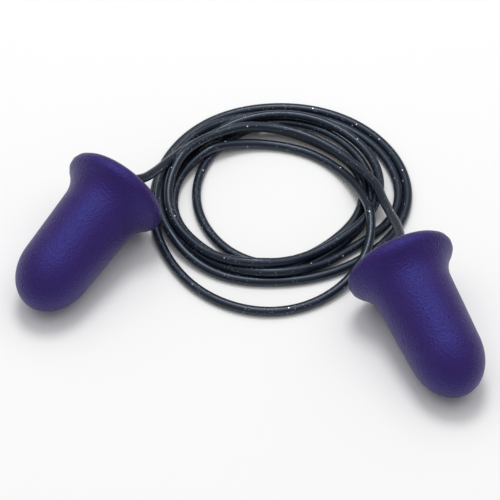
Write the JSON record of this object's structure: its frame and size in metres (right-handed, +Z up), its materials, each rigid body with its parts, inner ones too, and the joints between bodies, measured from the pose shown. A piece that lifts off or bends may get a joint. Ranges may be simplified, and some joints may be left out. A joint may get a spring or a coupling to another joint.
{
  "type": "foam ear plugs",
  "caption": "Corded pair of bell-shaped soft foam ear plugs, the long flecked cord glued into each flared base and wound in a loose flat coil behind them.",
  "frame": {"origin": "on the table, under the middle of the box around the two plugs", "axes": "+X to the right along the pair, +Y away from the noses towards the coil, +Z up from the table"},
  "size_m": [0.0668, 0.0578, 0.0156],
  "materials": {
    "foam": "soft slow-recovery foam with a fine matte skin, deep indigo",
    "cord": "glossy blue-black flexible vinyl with pale metallic flecks",
    "glue": "clear yellowish set glue",
    "steel": "fine satin steel"
  },
  "bodies": {
    "root": {"foam_plug_left": "foam", "foam_plug_right": "foam", "glue_left": "glue", "glue_right": "glue", "detection_ball_left": "steel", "detection_ball_right": "steel", "cord_end_left": "cord", "cord_end_right": "cord", "cord_lead_left": "cord", "cord_lead_right": "cord", "cord_coil": "cord"}
  },
  "joints": []
}
